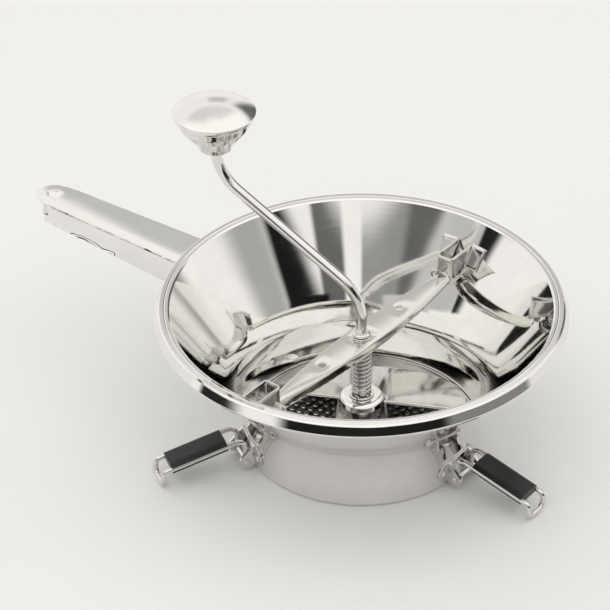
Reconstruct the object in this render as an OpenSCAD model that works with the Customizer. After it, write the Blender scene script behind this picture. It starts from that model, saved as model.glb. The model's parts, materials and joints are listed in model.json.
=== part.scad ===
// Rotary food mill (potato ricer) in polished stainless steel.
// The origin is the centre of the drum's bottom ring, +Z is up and the crank turns about Z.
// X and Y lie on the surface that the drum stands on.

/* [Bowl] */
// Radius of the rolled rim, outside
rim_r = 120; // [116:1:124]
// Height of the rim above the surface
rim_z = 94.2; // [92:0.2:96]
// Inside radius of the bowl's mouth
mouth_r = 110.7; // [109:0.1:112]
// Outside radius of the drum
drum_r = 70.8; // [70.4:0.1:71.2]
// Height of the drum's upright wall
drum_h = 17; // [17:0.5:20]
// Height at which the wall has flared out to the slope of the cone
flare_h = 46; // [40:1:56]
// Thickness of the bowl's sheet
bowl_t = 1.2; // [1:0.1:1.4]

/* [Sieve disc] */
// Height of the disc's upturned rim above the surface
disc_rim_z = 5.8; // [5:0.1:7]
// Radius of the sieve holes
hole_r = 1.3; // [1:0.1:1.5]
// Distance between the rings of holes
hole_pitch = 5; // [4.5:0.1:6]
// Radius of the raised centre boss
boss_r = 13; // [12:0.5:14]

/* [Handle] */
// Direction of the handle around the bowl, in degrees
handle_az = 144; // [136:1:150]
// Distance from the bowl's centre to the hanging hole
hang_x = 237; // [225:1:245]
// Radius of the hanging hole
hang_r = 4; // [3:0.1:4.5]
// Height of the handle's top face
handle_z = 80; // [78:0.5:82]
// Width of the handle at its rounded end
handle_w_end = 23; // [20:0.5:26]
// Width of the handle at the bowl
handle_w_root = 31; // [27:0.5:33]
// Depth of the handle's sides at the end
handle_d_end = 15; // [12:0.5:17]
// Depth of the handle's sides at the bowl
handle_d_root = 21; // [18:0.5:23]
// Thickness of the handle's sheet
handle_t = 1.5; // [1.2:0.1:2]

/* [Strap and clips] */
// Direction of the strap across the bowl, in degrees
strap_az = 52; // [45:1:60]
// Height of the strap's top face
strap_z = 70; // [69.5:0.1:70.2]
// Half of the strap's length
strap_l = 84; // [82:0.5:85]
// Half of the strap's width at the shaft
strap_w = 9.7; // [9:0.1:11]
// Depth of the strap's turned-down edges
strap_d = 6.2; // [5:0.1:7]
// Thickness of the strap's sheet
strap_t = 1.2; // [1:0.1:1.5]
// Distance from the shaft to each round hole in the strap
strap_hole_x = 36.5; // [34:0.5:40]
// Radius of the strap's round holes
strap_hole_r = 2.3; // [2:0.1:2.6]
// Distance from the shaft to the inner face of a clip's loop
clip_x = 80; // [79:0.5:81]
// Height of a clip
clip_h = 12.5; // [11:0.5:13]

/* [Crank and knob] */
// Direction of the crank at rest, in degrees
crank_az = 155; // [0:5:355]
// Radius of the crank's round rod
rod_r = 3.25; // [3.2:0.05:3.3]
// Distance from the shaft to the knob's axis
crank_x = 92; // [88:1:96]
// Height at which the shaft meets the line of the arm
arm_z0 = 98; // [96:1:100]
// Height at which the arm meets the knob's axis
arm_z1 = 158; // [156:1:160]
// Radius of the rod's two bends, at its middle
bend_r = 30; // [28:1:31]
// Largest radius of the knob
knob_r = 24; // [23:0.5:25]
// Height of the knob's widest line
knob_z = 198; // [197:0.5:200]

/* [Paddle and spring] */
// Radius of the paddle's curved edge
blade_r = 62; // [58:0.5:63]
// Direction of the paddle's raised front edge, in degrees
blade_az = -22; // [-30:1:-15]
// Height of the paddle's sheet over the shaft
blade_z = 24.2; // [24:0.1:25]
// Thickness of the paddle's sheet
blade_t = 1.5; // [1.2:0.1:1.8]
// Radius of the paddle's domed hub
hub_r = 17; // [16:0.5:18]
// Height of the hub's flat top
hub_z = 28; // [27:0.5:29]
// Outside radius of the pressure spring
spring_r = 6; // [5.8:0.1:6.4]
// Diameter of the spring's wire
spring_d = 1.6; // [1.4:0.1:1.8]
// Number of the spring's turns
spring_turns = 12.5; // [10:0.5:13]

/* [Supports] */
// Direction of the first support, in degrees
support_az = 202; // [196:1:206]
// Distance from the bowl's centre to a support's hinge pin
pivot_x = 76; // [75.5:0.1:77]
// Height of a support's hinge pin
pivot_z = 6; // [5.8:0.1:6.4]
// Radius of a support's wire
wire_r = 1.6; // [1.5:0.05:1.7]
// Half of the distance between a support's two legs
leg_y = 7; // [6.8:0.1:7.2]
// Distance from the bowl's centre to a support's foot
foot_x = 126.5; // [122:0.5:128]
// Length of a support's pad
pad_l = 35; // [30:1:37]

/* [Hidden] */
$fn = 96;

steel = [0.80, 0.79, 0.77];
bright_steel = [0.87, 0.86, 0.84];
wire_steel = [0.72, 0.71, 0.69];
spring_steel = [0.55, 0.53, 0.52];
black_rubber = [0.06, 0.06, 0.06];
nylon = [0.16, 0.16, 0.17];

// Running gap of a shaft in its hole, and the gap left between two pieces that only meet.
fit = 0.05;
gap = 0.35;

// How far a straight length of wire runs into a bend, and how much thicker the bend is.
bend_lap = 0.2;
bend_swell = 0.02;

// Bowl: an upright wall, a flare whose slope grows evenly, and a straight cone up to the mouth.
drum_in = drum_r - bowl_t;
lip_z = rim_z - 0.4;
flare_mid = (drum_h + flare_h) / 2;
flare_steps = 8;
cone_slope = (mouth_r - drum_in) / (lip_z - flare_mid);
ledge_w = 4;
land_r = 116.6;
rim_drop = 5.9;
function flared(z) = min(1, max(0, (z - drum_h) / (flare_h - drum_h)));
function wall_in_r(z) = drum_in + cone_slope * (z < flare_h ? flared(z) * (z - drum_h) / 2 : z - flare_mid);
function wall_out_r(z) = wall_in_r(z) + bowl_t * norm([1, cone_slope * flared(z)]);
flare_z = [for (i = [0:flare_steps]) drum_h + (flare_h - drum_h) * i / flare_steps];

// Sieve disc.
disc_t = 1;
disc_z = bowl_t + disc_t;
disc_r = drum_in - 0.4;
boss_top = 21;
sieve_r0 = 21;
sieve_rings = 8;

// Paddle: its sheet is a tilted plane, lowest behind the shaft.
blade_rx = -17.7;
blade_ry = -9.2;
hub_floor = disc_z + gap + 0.2;
hub_t = 1.2;
hub_curve = 70;
sleeve_r = 6;
sleeve_h = 5.7;
pin_z = hub_z - 3;
pin_r = 0.9;
pin_l = 12;
paddle_eye_r = 14;

// Shaft stack, from the hub up to the strap.
washer_t = 1;
washer_r = 7.4;
spring_z0 = hub_z + gap + washer_t;
spring_z1 = strap_z - strap_t - washer_t;
spring_mid_r = spring_r - spring_d / 2;
bush_r = 4.2;
bush_flange_r = 5.8;
bush_flange_t = 0.8;
collar_r = 5.2;
collar_t = 1.8;
rod_foot_z = 3;

// Knob.
cup_z = 174.2;
cup_r = 9.4;
cup_top_z = 194.6;
cap_t = 1.2;
dome_h = 7.6;
rod_top_z = 193.2;
bush_top_z = 190;
knob_bush_r = 6.4;

// Supports.
ear_y = 8.6;
ear_t = 1.5;
ear_r = 4.8;
base_t = 1.3;
base_z0 = 3;
base_z1 = 16.5;
base_end_y = 10.2;
rivet_y = 13.2;
rivet_z = 9.8;
hinge_pin_r = 1.5;
eye_r = 3.5;
eye_t = 1.6;
leg_top_z = 21;
foot_z = 2.3;
leg_a = 11.5;
leg_bend_r = 5;
foot_bend_r = 4;
supports = [support_az, support_az + 120, support_az + 240];

function unit(v) = v / norm(v);
function turn(u, w) = acos(u * w);

// Round rod from a to b.
module rod(a, b, r) {
    d = b - a;
    translate(a)
        rotate([0, acos(d[2] / norm(d)), atan2(d[1], d[0])])
            cylinder(r = r, h = norm(d));
}

// Round bend at corner c of a rod that arrives along u and leaves along w.
module bend(c, u, w, big, r) {
    a = turn(u, w);
    n = unit(w - (u * w) * u);
    s = c - big * tan(a / 2) * u;
    o = s + big * n;
    z = cross(-n, u);
    multmatrix([
        [-n[0], u[0], z[0], o[0]],
        [-n[1], u[1], z[1], o[1]],
        [-n[2], u[2], z[2], o[2]],
        [0, 0, 0, 1]
    ])
        rotate_extrude(angle = a) translate([big, 0]) circle(r = r);
}

// Bent wire of radius r through points p, with a bend of radius b[i] at each inner point p[i].
// A bend is a hair thicker than the straight lengths, which run a little way into it.
module wire(p, b, r) {
    last = len(p) - 1;
    d = [for (i = [0:last - 1]) unit(p[i + 1] - p[i])];
    cut = [
        for (i = [0:last])
            i == 0 || i == last ? 0 : b[i] * tan(turn(d[i - 1], d[i]) / 2) - bend_lap
    ];
    for (i = [0:last - 1])
        rod(p[i] + cut[i] * d[i], p[i + 1] - cut[i + 1] * d[i], r);
    for (i = [1:last - 1])
        bend(p[i], d[i - 1], d[i], b[i], r + bend_swell);
}

// Flat ring from z0 to z1 with inner radius a and outer radius b.
module ring(a, b, z0, z1) {
    rotate_extrude() translate([a, z0]) square([b - a, z1 - z0]);
}

// Solid inside the bowl's outer wall.
module bowl_outer() {
    rotate_extrude()
        polygon([
            [0, 0], [drum_r, 0], for (z = flare_z) [wall_out_r(z), z], [wall_out_r(rim_z), rim_z],
            [0, rim_z]
        ]);
}

// ---- Bowl, disc and handle ----

// Cone, drum and rolled rim, spun from one sheet.
module bowl() {
    hem_z = rim_z - rim_drop;
    color(bright_steel) rotate_extrude() polygon([
        [drum_in - ledge_w, 0], [drum_r - 1, 0], [drum_r, 1], for (z = flare_z) [wall_out_r(z), z],
        [wall_out_r(lip_z - 4), lip_z - 4], [mouth_r + 3, lip_z - 1.8],
        [land_r - 0.6, rim_z - 1.5], [rim_r - 1.5, hem_z - 0.4], [rim_r - 2.2, hem_z - 1.2],
        [rim_r - 4.2, hem_z - 1.2], [rim_r - 4.2, hem_z - 2.2], [rim_r - 1.6, hem_z - 2.2],
        [rim_r, hem_z], [land_r + 1, rim_z - 0.9], [land_r, rim_z],
        [mouth_r + 0.9, rim_z - 0.1], [mouth_r, lip_z],
        for (i = [flare_steps:-1:0]) [wall_in_r(flare_z[i]), flare_z[i]],
        [drum_in, bowl_t], [drum_in - ledge_w, bowl_t]
    ]);
}

// Perforated disc with an upturned rim and a raised centre boss that locates the shaft.
module sieve_disc() {
    color(steel) {
        translate([0, 0, bowl_t]) linear_extrude(disc_t) difference() {
            circle(r = disc_r);
            circle(r = boss_r - disc_t);
            for (i = [0:sieve_rings - 1]) {
                r = sieve_r0 + i * hole_pitch;
                n = floor(2 * PI * r / hole_pitch);
                for (k = [0:n - 1])
                    rotate((k + 0.5 * (i % 2)) * 360 / n) translate([r, 0]) circle(r = hole_r);
            }
        }
        ring(disc_r - disc_t, disc_r, bowl_t, disc_rim_z);
        rotate_extrude() polygon([
            [boss_r - disc_t, bowl_t], [boss_r, bowl_t], [boss_r, disc_z], [7.6, boss_top],
            [rod_r + fit, boss_top], [rod_r + fit, boss_top - disc_t], [6.8, boss_top - disc_t]
        ]);
    }
}

// Plan of the handle from the bowl to the rounded end, drawn smaller by inset.
module handle_plan(inset) {
    e = handle_w_end / 2 - inset;
    r = handle_w_root / 2 - inset;
    polygon([[85, -r], [hang_x, -e], [hang_x, e], [85, r]]);
    translate([hang_x, 0]) circle(r = e);
}

// Inverted channel with a flat rounded end and a hanging hole, welded under the rim.
module handle() {
    side = handle_z - handle_t;
    slope = (handle_d_root - handle_d_end) / (hang_x - 100);
    color(bright_steel) difference() {
        rotate(handle_az) difference() {
            union() {
                translate([0, 0, side]) linear_extrude(handle_t) handle_plan(0);
                translate([0, 0, handle_z - handle_d_root]) linear_extrude(handle_d_root - handle_t) {
                    difference() {
                        handle_plan(0);
                        handle_plan(handle_t);
                        translate([hang_x, -handle_w_end]) square(2 * handle_w_end);
                    }
                }
            }
            rotate([90, 0, 0]) translate([0, 0, -handle_w_root]) linear_extrude(2 * handle_w_root)
                polygon([
                    [100, handle_z - handle_d_root], [hang_x + 20, handle_z - handle_d_end],
                    [hang_x + 20, 0], [100, 0]
                ]);
            translate([hang_x, 0, 0]) cylinder(r = hang_r, h = 2 * handle_z);
        }
        bowl_outer();
    }
}

// ---- Strap and clips ----

// Bent strip that holds a strap end down: a loop on two feet welded to the cone.
module strap_clip() {
    z0 = strap_z + gap;
    half = 5.6;
    t = 1;
    reach = 30;
    hook_drop = 5;
    hook_w = 5;
    foot_a = 5.6;
    foot_start = 3.2;
    color(steel) {
        difference() {
            union() {
                translate([0, 0, z0]) linear_extrude(clip_h) difference() {
                    translate([clip_x, -half]) square([reach, 2 * half]);
                    translate([clip_x + t, t - half]) square([reach, 2 * half - 2 * t]);
                }
                translate([clip_x, half - t, z0 - hook_drop]) cube([reach, t, hook_drop + 0.5]);
                translate([clip_x, half - t, z0 - hook_drop]) cube([t, hook_w, hook_drop - 1]);
            }
            difference() {
                cylinder(r = rim_r, h = 2 * rim_z);
                rotate_extrude() polygon([
                    [0, flare_h], [wall_in_r(flare_h), flare_h], [wall_in_r(92), 92], [0, 92]
                ]);
            }
        }
        for (side = [-1, 1])
            rotate(side > 0 ? foot_start : -foot_start - foot_a)
                rotate_extrude(angle = foot_a) polygon([
                    [wall_in_r(z0) - t, z0], [wall_in_r(z0), z0],
                    [wall_in_r(z0 + clip_h - 2), z0 + clip_h - 2],
                    [wall_in_r(z0 + clip_h - 2) - t, z0 + clip_h - 2]
                ]);
    }
}

module strap_clip_front() {
    rotate(strap_az + 180) strap_clip();
}

module strap_clip_back() {
    rotate(strap_az) strap_clip();
}

// Leaf-shaped plan of the strap, drawn smaller by inset.
module strap_plan(inset) {
    tip = 2.6;
    w = strap_w - inset;
    big = (strap_l * strap_l + (strap_w - tip) * (strap_w - tip)) / (2 * (strap_w - tip));
    intersection() {
        translate([0, w - big]) circle(r = big, $fn = 720);
        translate([0, big - w]) circle(r = big, $fn = 720);
        translate([inset - strap_l, -strap_w]) square([2 * (strap_l - inset), 2 * strap_w]);
    }
}

// Removable strap across the bowl, with turned-down edges and three holes.
module strap() {
    color(bright_steel) rotate(strap_az) difference() {
        translate([0, 0, strap_z - strap_d]) linear_extrude(strap_d) strap_plan(0);
        translate([0, 0, strap_z - strap_d - 1]) linear_extrude(strap_d + 1 - strap_t) strap_plan(strap_t);
        for (x = [-strap_hole_x, strap_hole_x])
            translate([x, 0, strap_z - 5]) cylinder(r = strap_hole_r, h = 10);
        translate([0, 0, strap_z - 5]) cylinder(r = bush_r, h = 10);
    }
}

// Flanged bush that guides the shaft through the strap.
module strap_bush() {
    color(wire_steel) {
        ring(rod_r + fit, bush_r, strap_z - strap_t, strap_z + bush_flange_t);
        ring(bush_r, bush_flange_r, strap_z, strap_z + bush_flange_t);
    }
}

// ---- Shaft stack ----

module upper_spring_washer() {
    color(wire_steel) ring(rod_r + fit, washer_r, spring_z1, spring_z1 + washer_t);
}

module lower_spring_washer() {
    color(wire_steel) ring(rod_r + fit, washer_r, spring_z0 - washer_t, spring_z0);
}

// Coil spring as a sweep: each ring of the tube lies across the helix.
module pressure_spring() {
    sides = 8;
    steps = 10;
    rings = floor(spring_turns * steps);
    rise = (spring_z1 - spring_z0 - spring_d) / rings;
    z_first = spring_z0 + spring_d / 2;
    w = spring_d / 2;
    points = [
        for (i = [0:rings], k = [0:sides - 1])
            let (a = i * 360 / steps, b = k * 360 / sides, r = spring_mid_r + w * cos(b))
                [r * cos(a), r * sin(a), z_first + i * rise + w * sin(b)]
    ];
    skin = [
        for (i = [0:rings - 1], k = [0:sides - 1])
            let (n = (k + 1) % sides)
                [i * sides + k, i * sides + n, (i + 1) * sides + n, (i + 1) * sides + k]
    ];
    first = [for (k = [sides - 1:-1:0]) k];
    last = [for (k = [0:sides - 1]) rings * sides + k];
    color(spring_steel) polyhedron(points, concat(skin, [first, last]), convexity = 10);
}

// Crank: one round rod, bent twice, from the disc's boss to the knob.
module crank_rod() {
    arm = [crank_x * cos(crank_az), crank_x * sin(crank_az)];
    color(wire_steel) difference() {
        wire(
            [
                [0, 0, rod_foot_z], [0, 0, arm_z0],
                [arm[0], arm[1], arm_z1], [arm[0], arm[1], rod_top_z]
            ],
            [0, bend_r, bend_r, 0], rod_r
        );
        cross_hole();
    }
}

// Ring swaged onto the shaft just above the strap, so the strap stays on the crank.
module crank_collar() {
    z = strap_z + bush_flange_t + gap;
    color(wire_steel) rotate_extrude() polygon([
        [rod_r, z], [collar_r - 0.5, z], [collar_r, z + 0.5], [collar_r, z + collar_t - 0.7],
        [collar_r - 0.8, z + collar_t], [rod_r, z + collar_t]
    ]);
}

// Half outline of the hub's dome, drawn smaller by inset.
module hub_outline(inset) {
    intersection() {
        translate([hub_r - hub_curve, hub_floor]) circle(r = hub_curve - inset, $fn = 360);
        translate([0, hub_floor]) square([hub_r, hub_z - hub_floor - inset]);
    }
}

// Domed hub that the spring presses on, with a sleeve pinned to the shaft.
module paddle_hub() {
    color(bright_steel) difference() {
        rotate_extrude() {
            difference() {
                hub_outline(0);
                hub_outline(hub_t);
                square([rod_r, hub_z + 1]);
            }
            translate([rod_r, hub_z - sleeve_h]) square([sleeve_r - rod_r, sleeve_h - hub_t / 2]);
        }
        cross_hole();
    }
}

// Hole for the cross pin, through the hub's sleeve and the shaft.
module cross_hole() {
    rotate(crank_az) rotate([90, 0, 0]) translate([0, pin_z, -pin_l / 2])
        cylinder(r = pin_r, h = pin_l);
}

// Half-round sheet, tilted so that it drives food down through the disc.
module paddle() {
    color(bright_steel) difference() {
        intersection() {
            rotate(blade_az) translate([0, 0, blade_z]) rotate([blade_rx, blade_ry, 0])
                translate([-100, -100, -blade_t]) cube([200, 200, blade_t]);
            rotate(blade_az) difference() {
                translate([0, 0, disc_z + gap]) cylinder(r = blade_r, h = 60);
                translate([-100, -204, -1]) cube([200, 200, 80]);
            }
        }
        cylinder(r = paddle_eye_r, h = 60);
    }
}

// Cross pin that locks the hub to the shaft.
module hub_pin() {
    color(wire_steel) cross_hole();
}

// ---- Knob ----

// Ring pressed onto the rod's end, which keeps the knob on.
module knob_retainer() {
    place_knob() color(wire_steel) ring(rod_r, 6, bush_top_z + gap, bush_top_z + gap + 1.5);
}

module place_knob() {
    rotate(crank_az) translate([crank_x, 0, 0]) children();
}

// Plastic bearing inside the knob.
module knob_bush() {
    place_knob() color(nylon) ring(rod_r + fit, knob_bush_r, cup_z + cap_t, bush_top_z);
}

// Flared cup, the lower half of the knob.
module knob_cup() {
    place_knob() color(bright_steel) rotate_extrude() polygon([
        [rod_r + 1, cup_z], [cup_r - 0.8, cup_z], [cup_r, cup_z + 0.8],
        [11.4, 178], [14.3, 181.8], [17.4, 185.4], [20.6, 190], [22.4, cup_top_z],
        [21.2, cup_top_z], [19.4, 190.4], [16.4, 186.2], [13.3, 182.6], [10.4, 178.8],
        [8.6, cup_z + cap_t], [rod_r + 1, cup_z + cap_t]
    ]);
}

// Shallow domed cap with a lip turned in over the cup, the upper half of the knob.
module knob_cap() {
    top_z = knob_z + dome_h;
    dome_big = (knob_r * knob_r + dome_h * dome_h) / (2 * dome_h);
    lip_w = 1.9;
    flange_w = 6;
    place_knob() color(bright_steel) rotate_extrude() difference() {
        union() {
            intersection() {
                translate([0, top_z - dome_big]) circle(r = dome_big, $fn = 360);
                translate([0, knob_z - 0.5]) square([knob_r, dome_h + 1]);
            }
            polygon([
                [0, cup_top_z], [knob_r - 1.2, cup_top_z], [knob_r - 0.2, knob_z - 1.4],
                [knob_r, knob_z - 0.5], [knob_r - 1, knob_z], [0, knob_z]
            ]);
        }
        intersection() {
            translate([0, top_z - dome_big]) circle(r = dome_big - cap_t, $fn = 360);
            translate([0, cup_top_z + 1]) square([knob_r - lip_w, 2 * dome_h]);
        }
        translate([0, cup_top_z - 1]) square([knob_r - flange_w, 3]);
    }
}

// ---- Supports ----

// Plate on the drum with two ears that carry the hinge pin.
module hinge_bracket(az) {
    to_ear = [72.6 - pivot_x, base_z1 - pivot_z];
    ear_a = atan2(to_ear[1], to_ear[0]) - acos(ear_r / norm(to_ear));
    color(steel) rotate(az) difference() {
        union() {
            intersection() {
                ring(drum_r, drum_r + base_t, 0, 30);
                rotate([90, 0, 90]) linear_extrude(100) {
                    translate([-base_end_y, base_z0]) square([2 * base_end_y, base_z1 - base_z0]);
                    for (y = [-base_end_y, base_end_y])
                        translate([y, (base_z0 + base_z1) / 2]) circle(d = base_z1 - base_z0);
                }
            }
            for (y = [-ear_y, ear_y + ear_t])
                translate([0, y, 0]) rotate([90, 0, 0]) linear_extrude(ear_t) {
                    polygon([
                        [drum_r + 0.6, base_z0], [drum_r + 0.6, base_z1], [72.6, base_z1],
                        [pivot_x + ear_r * cos(ear_a), pivot_z + ear_r * sin(ear_a)],
                        [pivot_x, pivot_z]
                    ]);
                    translate([pivot_x, pivot_z]) circle(r = ear_r);
                }
        }
        translate([pivot_x, 30, pivot_z]) rotate([90, 0, 0]) cylinder(r = hinge_pin_r, h = 60);
        cylinder(r = drum_r, h = 40);
    }
}

// Domed rivet heads that hold the three brackets to the drum.
module bracket_rivets() {
    a = asin(rivet_y / drum_r);
    color(bright_steel) for (az = supports, side = [-1, 1])
        rotate(az + side * a) translate([drum_r + base_t, 0, rivet_z]) rotate([0, 90, 0])
            rotate_extrude() polygon([[0, -0.2], [2.1, -0.2], [2.1, 0.3], [1.5, 0.9], [0, 1.1]]);
}

// Hinge pin with a domed head outside each ear.
module hinge_pin(az) {
    end = ear_y + ear_t;
    color(bright_steel) rotate(az) translate([pivot_x, 0, pivot_z]) rotate([90, 0, 0])
        rotate_extrude() polygon([
            [0, -end - 1.1], [1.4, -end - 0.9], [2.2, -end - 0.3], [2.2, -end], [hinge_pin_r, -end],
            [hinge_pin_r, end], [2.2, end], [2.2, end + 0.3], [1.4, end + 0.9], [0, end + 1.1]
        ]);
}

// Bent wire support: two legs from the pin, over the pad and down to a foot.
module support_wire(az) {
    corner_z = leg_top_z - (foot_x - pivot_x) * tan(leg_a);
    p = [
        [pivot_x, -leg_y, pivot_z + eye_r - 0.5], [pivot_x, -leg_y, leg_top_z],
        [foot_x, -leg_y, corner_z], [foot_x, -leg_y, foot_z],
        [foot_x, leg_y, foot_z], [foot_x, leg_y, corner_z],
        [pivot_x, leg_y, leg_top_z], [pivot_x, leg_y, pivot_z + eye_r - 0.5]
    ];
    b = [0, leg_bend_r, foot_bend_r, foot_bend_r, foot_bend_r, foot_bend_r, leg_bend_r, 0];
    color(wire_steel) rotate(az) difference() {
        union() {
            wire(p, b, wire_r);
            for (y = [-leg_y, leg_y])
                translate([pivot_x, y + eye_t / 2, pivot_z]) rotate([90, 0, 0])
                    cylinder(r = eye_r, h = eye_t);
        }
        translate([pivot_x, 20, pivot_z]) rotate([90, 0, 0])
            cylinder(r = hinge_pin_r + fit, h = 40);
    }
}

// Black pad between the two legs, which lie in grooves in its sides.
module support_pad(az) {
    along = (foot_x - foot_bend_r - 1.5 - pivot_x) / cos(leg_a) - pad_l;
    half = [
        [4.8, 3.6], [8.2, 1.5], [8.2, 0.9], [5.6, 0.9], [5.6, -1.7], [7.8, -1.7], [7.8, -2.4],
        [6.8, -3.4]
    ];
    section = concat(half, [for (i = [len(half) - 1:-1:0]) [-half[i][0], half[i][1]]]);
    color(black_rubber) rotate(az) translate([pivot_x, 0, leg_top_z]) rotate([0, leg_a, 0])
        translate([along, 0, 0]) rotate([90, 0, 90]) linear_extrude(pad_l) difference() {
            polygon(section);
            for (y = [-leg_y, leg_y]) translate([y, 0]) circle(r = wire_r);
        }
}

bowl();
sieve_disc();
handle();
strap_clip_front();
strap_clip_back();
strap();
strap_bush();
upper_spring_washer();
pressure_spring();
lower_spring_washer();
crank_rod();
crank_collar();
paddle_hub();
paddle();
hub_pin();
knob_retainer();
knob_bush();
knob_cup();
knob_cap();
hinge_bracket(supports[0]);  // hinge_bracket_1
hinge_bracket(supports[1]);  // hinge_bracket_2
hinge_bracket(supports[2]);  // hinge_bracket_3
bracket_rivets();
hinge_pin(supports[0]);  // hinge_pin_1
hinge_pin(supports[1]);  // hinge_pin_2
hinge_pin(supports[2]);  // hinge_pin_3
support_wire(supports[0]);  // support_wire_1
support_wire(supports[1]);  // support_wire_2
support_wire(supports[2]);  // support_wire_3
support_pad(supports[0]);  // support_pad_1
support_pad(supports[1]);  // support_pad_2
support_pad(supports[2]);  // support_pad_3
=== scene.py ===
"""Looks of a rotary food mill in polished steel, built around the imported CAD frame.

Lengths are in millimetres until a mesh is made, and each piece has the place that the frame gives it.
"""

import json
import math

import bmesh
import bpy
from mathutils import Matrix, Vector
from mathutils.geometry import delaunay_2d_cdt


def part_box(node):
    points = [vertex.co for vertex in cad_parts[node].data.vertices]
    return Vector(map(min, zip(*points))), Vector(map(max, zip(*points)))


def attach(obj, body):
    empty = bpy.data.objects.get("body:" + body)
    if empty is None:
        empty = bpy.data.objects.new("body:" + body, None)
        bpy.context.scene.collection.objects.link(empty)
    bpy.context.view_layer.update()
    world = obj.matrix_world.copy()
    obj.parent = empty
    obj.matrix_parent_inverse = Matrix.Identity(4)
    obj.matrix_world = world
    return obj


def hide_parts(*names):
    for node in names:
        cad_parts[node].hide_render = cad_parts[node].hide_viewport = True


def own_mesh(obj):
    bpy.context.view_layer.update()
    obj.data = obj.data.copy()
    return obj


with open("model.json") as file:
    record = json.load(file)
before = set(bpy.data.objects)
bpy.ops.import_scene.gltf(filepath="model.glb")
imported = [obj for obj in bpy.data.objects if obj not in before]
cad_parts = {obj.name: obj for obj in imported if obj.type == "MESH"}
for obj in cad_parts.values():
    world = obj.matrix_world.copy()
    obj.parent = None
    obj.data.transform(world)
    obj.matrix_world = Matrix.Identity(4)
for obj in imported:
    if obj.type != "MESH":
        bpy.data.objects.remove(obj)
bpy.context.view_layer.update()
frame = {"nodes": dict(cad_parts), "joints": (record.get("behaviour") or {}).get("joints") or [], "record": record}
MM = 0.001


# ---- Camera ----

def make_camera():
    """A long lens that looks down at the mill from the front, with the picture level."""
    tilt = math.radians(34.84)
    data = bpy.data.cameras.new("camera")
    data.sensor_width = 36
    data.lens = 148.06
    data.shift_x = -0.0926
    data.clip_start = 0.05
    data.clip_end = 50
    camera = bpy.data.objects.new("camera", data)
    camera.location = (0, -1.1881, 0.9188)
    camera.rotation_euler = (math.pi / 2 - tilt, 0, 0)
    bpy.context.scene.collection.objects.link(camera)
    bpy.context.scene.camera = camera


make_camera()


# ---- Places and sizes from the frame ----

def box_mm(node):
    """Lowest and highest corner of a node's box, in mm."""
    low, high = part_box(node)
    return low / MM, high / MM


def polar(place):
    """Distance from the shaft in mm, direction in radians and height in mm of a place in metres."""
    return math.hypot(place[0], place[1]) / MM, math.atan2(place[1], place[0]), place[2] / MM


def by_name(rows):
    return {row["name"]: row for row in rows}


def node_points(node):
    return [v.co / MM for v in frame["nodes"][node].data.vertices]


record = frame["record"]
joints = by_name(frame["joints"])
mounts = by_name(record["mounts"])
openings = by_name(record["physics"]["openings"])

SHEET = 1.2
RUNNING_GAP = 0.05
DISC_GAP = 0.4
RIM_R, RIM_Z = box_mm("bowl")[1].x, box_mm("bowl")[1].z
DISC_R = box_mm("sieve_disc")[1].x
DISC_Z = box_mm("sieve_disc")[0].z + 1.0
DRUM_IN = DISC_R + DISC_GAP
DRUM_R = DRUM_IN + SHEET
DRUM_H = max(p.z for p in node_points("bowl") if math.hypot(p.x, p.y) < DRUM_IN + 0.1)
FLARE_H = 46.0
FLARE_MID = (DRUM_H + FLARE_H) / 2
MOUTH_R = min(math.hypot(p.x, p.y) for p in node_points("bowl") if p.z > RIM_Z - 0.5)
LIP_Z = RIM_Z - 0.4
CONE_SLOPE = (MOUTH_R - DRUM_IN) / (LIP_Z - FLARE_MID)

HANG_X, HANDLE_AZ, _ = polar(mounts["hang_hole"]["pos_m"])
HANG_R = mounts["hang_hole"]["dims"]["r_mm"]
HANDLE_Z, HANDLE_LOW = box_mm("handle")[1].z, box_mm("handle")[0].z
CRANK_X, CRANK_AZ, _ = polar(joints["knob_spin"]["pos_m"])
BEND_SWELL = 0.02
ROD_R = box_mm("crank_rod")[1].x - BEND_SWELL
STRAP_Z, STRAP_LOW = box_mm("strap")[1].z, box_mm("strap")[0].z
SUPPORT_PLACES = [polar(joints[f"support_fold_{i}"]["pos_m"]) for i in (1, 2, 3)]
PIVOT_X, _, PIVOT_Z = SUPPORT_PLACES[0]


def opening_azimuth(name):
    """Direction in radians of the middle of a named opening."""
    low, high = openings[name]["box_m"]
    return math.atan2(low[1] + high[1], low[0] + high[0])


STRAP_AZ = opening_azimuth("clip_loop_back")


def flared(z):
    """How much of the cone's slope the wall has at height z, from 0 at the drum to 1."""
    return min(1.0, max(0.0, (z - DRUM_H) / (FLARE_H - DRUM_H)))


def wall_in(z):
    """Inside radius of the bowl's wall at height z."""
    rise = flared(z) * max(0.0, z - DRUM_H) / 2 if z < FLARE_H else z - FLARE_MID
    return DRUM_IN + CONE_SLOPE * rise


def wall_out(z):
    """Outside radius of the bowl's wall at height z."""
    return wall_in(z) + SHEET * math.hypot(1, CONE_SLOPE * flared(z))


# ---- Mesh tools ----

def add_object(name, mesh, body, finish, nodes=(), azimuth=0.0):
    """Gives a mesh its place, material and body, and hides the CAD nodes that it stands for."""
    mesh.transform(Matrix.Rotation(azimuth, 4, "Z") @ Matrix.Scale(MM, 4))
    mesh.materials.append(finish)
    piece = bpy.data.objects.new(name, mesh)
    bpy.context.scene.collection.objects.link(piece)
    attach(piece, body)
    if nodes:
        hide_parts(*nodes)
    return piece


def refinish(node, finish):
    """Gives a CAD node that stays in view its material."""
    materials = frame["nodes"][node].data.materials
    materials.clear()
    materials.append(finish)


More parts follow.
